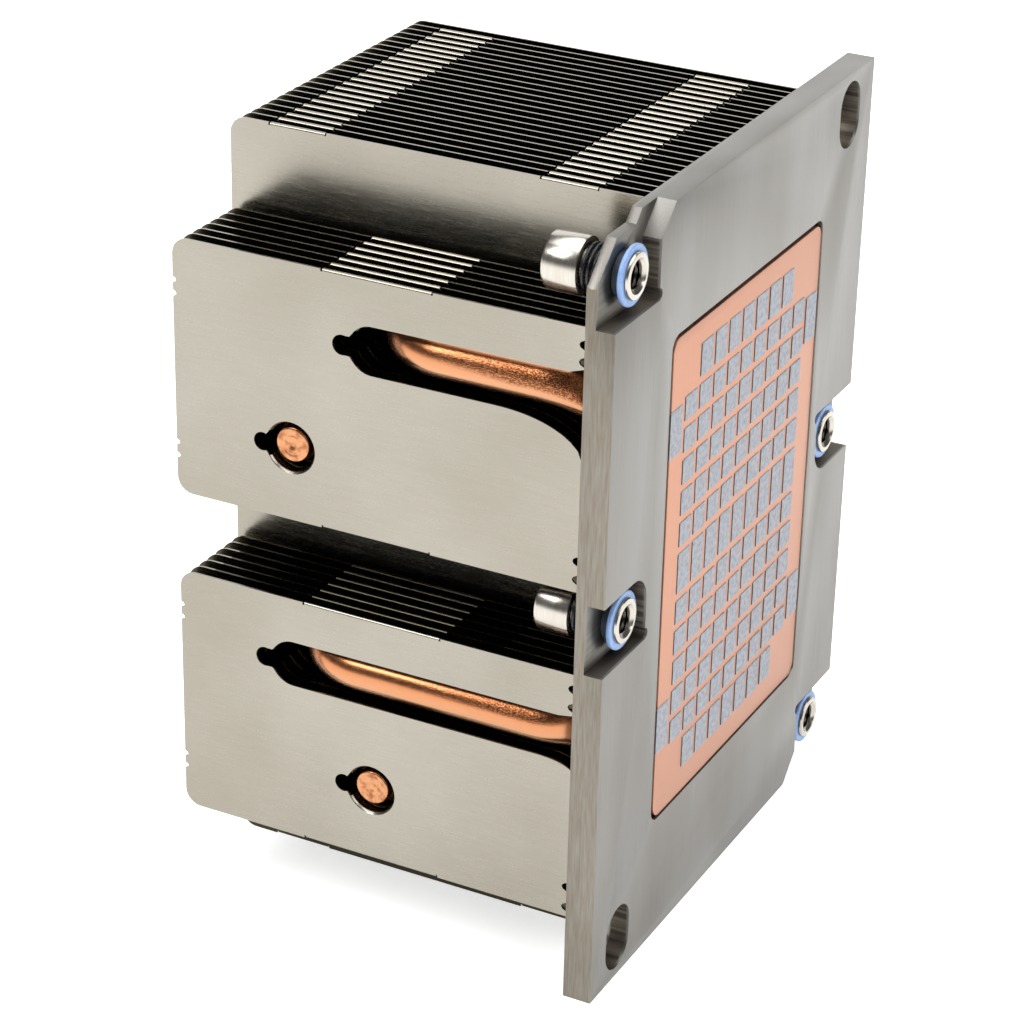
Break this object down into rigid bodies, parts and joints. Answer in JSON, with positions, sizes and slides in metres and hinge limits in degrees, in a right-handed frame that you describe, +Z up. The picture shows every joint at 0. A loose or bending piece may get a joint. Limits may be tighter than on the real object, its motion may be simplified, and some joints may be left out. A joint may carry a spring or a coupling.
{
  "type": "passive server cpu heatsink",
  "caption": "Passive processor heatsink: a stack of folded metal fins with heat pipes on a base plate, with a copper contact block, thermal pads and sprung captive nuts.",
  "frame": {"origin": "middle of the lower edge of the base plate's contact face", "axes": "+X out of the contact face, +Z up along the plate's long side, +Y along its short side"},
  "size_m": [0.064, 0.081, 0.108],
  "materials": {
    "plate": "brushed",
    "copper_block": "satin copper",
    "pads": "matt thermal compound",
    "copper_pipe": "bright copper",
    "fins": "satin rolled sheet",
    "nut_steel": "bright plated",
    "spring_black": "gloss black",
    "ring_blue": "smooth moulded"
  },
  "bodies": {
    "heatsink": {"base_plate": "plate", "contact_block": "copper_block", "thermal_pads": "pads", "heat_pipe_1": "copper_pipe", "heat_pipe_2": "copper_pipe", "heat_pipe_3": "copper_pipe", "heat_pipe_4": "copper_pipe", "central_fin_01": "fins", "central_fin_02": "fins", "central_fin_03": "fins", "central_fin_04": "fins", "central_fin_05": "fins", "central_fin_06": "fins", "central_fin_07": "fins", "central_fin_08": "fins", "central_fin_09": "fins", "central_fin_10": "fins", "central_fin_11": "fins", "central_fin_12": "fins", "central_fin_13": "fins", "central_fin_14": "fins", "central_fin_15": "fins", "central_fin_16": "fins", "central_fin_17": "fins", "central_fin_18": "fins", "central_fin_19": "fins", "central_fin_20": "fins", "central_fin_21": "fins", "central_fin_22": "fins", "central_fin_23": "fins", "central_fin_24": "fins", "near_upper_fins": "fins", "near_lower_fins": "fins", "far_upper_fins": "fins", "far_lower_fins": "fins", "nut_spring_1": "spring_black", "nut_spring_2": "spring_black", "nut_spring_3": "spring_black", "nut_spring_4": "spring_black"},
    "ring_1": {"retaining_ring_1": "ring_blue"},
    "nut_1": {"captive_nut_1": "nut_steel"},
    "ring_2": {"retaining_ring_2": "ring_blue"},
    "nut_2": {"captive_nut_2": "nut_steel"},
    "ring_3": {"retaining_ring_3": "ring_blue"},
    "nut_3": {"captive_nut_3": "nut_steel"},
    "ring_4": {"retaining_ring_4": "ring_blue"},
    "nut_4": {"captive_nut_4": "nut_steel"}
  },
  "joints": [
    {"name": "nut_1_press", "type": "slide", "parent": "heatsink", "child": "ring_1", "axis": [1, 0, 0], "range_m": [0, 0.0012], "stiffness_N_per_m": 6000, "springref_m": -0.001, "deforming": ["nut_spring_1"]},
    {"name": "nut_1_turn", "type": "hinge", "parent": "ring_1", "child": "nut_1", "pos_m": [0, -0.0339, 0.1014], "axis": [1, 0, 0], "continuous": true},
    {"name": "nut_2_press", "type": "slide", "parent": "heatsink", "child": "ring_2", "axis": [1, 0, 0], "range_m": [0, 0.0012], "stiffness_N_per_m": 6000, "springref_m": -0.001, "deforming": ["nut_spring_2"]},
    {"name": "nut_2_turn", "type": "hinge", "parent": "ring_2", "child": "nut_2", "pos_m": [0, -0.0332, 0.054], "axis": [1, 0, 0], "continuous": true},
    {"name": "nut_3_press", "type": "slide", "parent": "heatsink", "child": "ring_3", "axis": [1, 0, 0], "range_m": [0, 0.0012], "stiffness_N_per_m": 6000, "springref_m": -0.001, "deforming": ["nut_spring_3"]},
    {"name": "nut_3_turn", "type": "hinge", "parent": "ring_3", "child": "nut_3", "pos_m": [0, 0.0332, 0.054], "axis": [1, 0, 0], "continuous": true},
    {"name": "nut_4_press", "type": "slide", "parent": "heatsink", "child": "ring_4", "axis": [1, 0, 0], "range_m": [0, 0.0012], "stiffness_N_per_m": 6000, "springref_m": -0.001, "deforming": ["nut_spring_4"]},
    {"name": "nut_4_turn", "type": "hinge", "parent": "ring_4", "child": "nut_4", "pos_m": [0, 0.0339, 0.0066], "axis": [1, 0, 0], "continuous": true}
  ]
}
